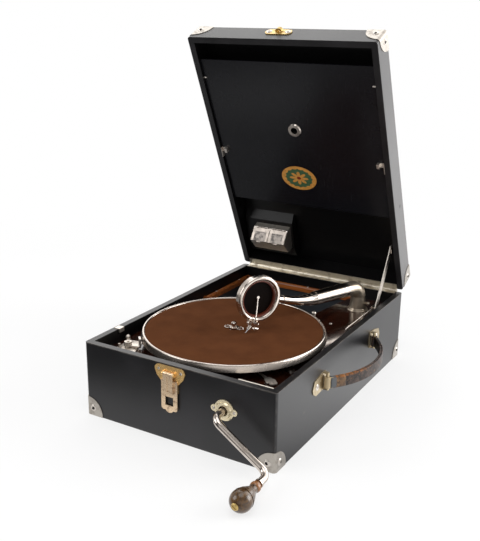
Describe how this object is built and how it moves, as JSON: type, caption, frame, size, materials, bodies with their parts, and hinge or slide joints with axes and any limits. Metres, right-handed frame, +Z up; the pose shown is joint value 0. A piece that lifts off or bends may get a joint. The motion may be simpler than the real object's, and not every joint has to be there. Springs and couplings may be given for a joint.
{
  "type": "portable gramophone",
  "caption": "Portable wind-up gramophone in a leathercloth case, lid open on its stay, with turntable, tone arm, soundbox, front crank and side handle.",
  "frame": {"origin": "centre of the case's underside, where it stands", "axes": "+Z up, +Y to the back where the lid is hinged, -Y to the front with latch and crank, +X to the right with the handle"},
  "size_m": [0.3297, 0.5471, 0.4998],
  "materials": {
    "leathercloth": "grained leathercloth, dull",
    "wood": "plain planed wood",
    "polished_wood": "french polished",
    "nickel": "nickel plate, slightly tarnished",
    "brass": "worn brass",
    "steel": "oiled steel",
    "motor_iron": "painted iron",
    "horn_tin": "dull grey paint",
    "dark_board": "dark blue-black lacquer",
    "felt": "brown felt",
    "strap_leather": "worn leather",
    "gasket_rubber": "red rubber",
    "dark_diaphragm": "dark mica backing"
  },
  "bodies": {
    "case": {"base_frame": "wood", "base_floor": "wood", "base_cloth": "leathercloth", "motor_board": "polished_wood", "case_screws": "nickel", "mouth_bead": "polished_wood", "horn": "horn_tin", "base_corners": "nickel", "hinge_base_leaf": "nickel", "hinge_pin": "nickel", "stay_rail": "nickel", "latch_plate": "brass", "escutcheon": "brass", "handle_plates": "brass", "handle_strap": "strap_leather", "arm_flange": "nickel", "board_fittings": "nickel", "motor_top_plate": "motor_iron", "motor_frame": "motor_iron"},
    "lid": {"lid_frame": "wood", "lid_panel": "wood", "lid_cloth": "leathercloth", "lid_corners": "nickel", "lid_screws": "nickel", "record_plate": "dark_board", "plate_eyelet": "nickel", "plate_clips": "nickel", "needle_wedge": "dark_board", "needle_box": "nickel", "hinge_lid_leaf": "nickel", "lid_keeper": "brass", "stay_bracket": "nickel"},
    "needle_door_left": {"needle_lid_left": "nickel"},
    "needle_door_right": {"needle_lid_right": "nickel"},
    "stay_runner": {"stay_slider": "nickel"},
    "stay_arm": {"stay_bar": "nickel"},
    "hasp": {"latch_hasp": "brass"},
    "crank": {"crank_rod": "nickel", "winding_shaft": "steel", "grip_screw": "brass"},
    "grip": {"crank_grip": "polished_wood"},
    "table": {"turntable": "nickel", "turntable_mat": "felt", "spindle": "nickel", "spindle_clip": "nickel"},
    "tone_arm": {"arm_tube": "nickel"},
    "soundbox": {"soundbox_shell": "nickel", "soundbox_ring": "nickel", "soundbox_gasket": "gasket_rubber", "diaphragm": "dark_diaphragm", "stylus_bar": "nickel", "needle": "nickel"},
    "brake": {"brake_lever": "nickel"},
    "regulator": {"speed_lever": "nickel"},
    "barrel_body": {"barrel": "brass", "mainspring": "steel"},
    "winding_arbor_body": {"winding_arbor": "brass"},
    "train": {"train_arbor": "brass"},
    "governor_body": {"governor": "brass"},
    "click_body": {"click": "steel"}
  },
  "joints": [
    {"name": "lid_open", "type": "hinge", "parent": "case", "child": "lid", "pos_m": [0, 0.211, 0.104], "axis": [1, 0, 0], "range_deg": [0, 44]},
    {"name": "needle_lid_left_swing", "type": "hinge", "parent": "lid", "child": "needle_door_left", "pos_m": [-0.0945, 0.17971, 0.18171], "axis": [-1, 0, 0], "range_deg": [0, 95]},
    {"name": "needle_lid_right_swing", "type": "hinge", "parent": "lid", "child": "needle_door_right", "pos_m": [-0.0635, 0.17971, 0.18171], "axis": [-1, 0, 0], "range_deg": [0, 95]},
    {"name": "stay_slide", "type": "slide", "parent": "case", "child": "stay_runner", "axis": [0, 1, 0], "range_m": [-0.0775, 0]},
    {"name": "stay_swing", "type": "hinge", "parent": "stay_runner", "child": "stay_arm", "pos_m": [0.1222, 0.15, 0.091], "axis": [1, 0, 0], "range_deg": [-24.5, 0]},
    {"name": "hasp_swing", "type": "hinge", "parent": "case", "child": "hasp", "pos_m": [-0.006, -0.2108, 0.093], "axis": [-1, 0, 0], "range_deg": [0, 175]},
    {"name": "crank_turn", "type": "hinge", "parent": "case", "child": "crank", "pos_m": [0.0726, -0.2, 0.064], "axis": [0, 1, 0], "continuous": true},
    {"name": "grip_spin", "type": "hinge", "parent": "crank", "child": "grip", "pos_m": [0.14721, -0.2545, 0.01367], "axis": [0, -1, 0], "continuous": true},
    {"name": "table_turn", "type": "hinge", "parent": "case", "child": "table", "pos_m": [0, -0.065, 0.104], "axis": [0, 0, 1], "continuous": true},
    {"name": "arm_swing", "type": "hinge", "parent": "case", "child": "tone_arm", "pos_m": [0.0925, 0.15, 0.104], "axis": [0, 0, 1], "range_deg": [-2, 24]},
    {"name": "soundbox_turn", "type": "hinge", "parent": "tone_arm", "child": "soundbox", "pos_m": [0.01468, -0.04387, 0.1486], "axis": [-0.3572, -0.8898, 0.284], "range_deg": [0, 95]},
    {"name": "brake_swing", "type": "hinge", "parent": "case", "child": "brake", "pos_m": [-0.112, -0.156, 0.09], "axis": [0, 0, 1], "range_deg": [-25, 0]},
    {"name": "speed_swing", "type": "hinge", "parent": "case", "child": "regulator", "pos_m": [0.062, -0.126, 0.087], "axis": [0, 0, 1], "range_deg": [0, 10]},
    {"name": "barrel_turn", "type": "hinge", "parent": "case", "child": "barrel_body", "pos_m": [0.0726, -0.065, 0.045], "axis": [0, 0, 1], "continuous": true},
    {"name": "winding_turn", "type": "hinge", "parent": "case", "child": "winding_arbor_body", "pos_m": [0.0726, -0.065, 0.05], "axis": [0, 0, 1], "continuous": true},
    {"name": "train_turn", "type": "hinge", "parent": "case", "child": "train", "pos_m": [0.0294, -0.065, 0.04], "axis": [0, 0, 1], "continuous": true},
    {"name": "governor_turn", "type": "hinge", "parent": "case", "child": "governor_body", "pos_m": [-0.0135, -0.065, 0.05], "axis": [0, 1, 0], "continuous": true},
    {"name": "click_swing", "type": "hinge", "parent": "case", "child": "click_body", "pos_m": [0.0896, -0.05, 0.027], "axis": [0, 0, 1], "range_deg": [-12, 0]}
  ],
  "couplings": [
    {"joint": "stay_slide", "follows": "lid_open", "m_per_rad": -0.098788},
    {"joint": "stay_swing", "follows": "lid_open", "ratio": -0.53689},
    {"joint": "train_turn", "follows": "table_turn", "ratio": -0.16667},
    {"joint": "barrel_turn", "follows": "table_turn", "ratio": 0.02381},
    {"joint": "governor_turn", "follows": "table_turn", "ratio": 10},
    {"joint": "winding_turn", "follows": "crank_turn", "ratio": -0.25}
  ]
}
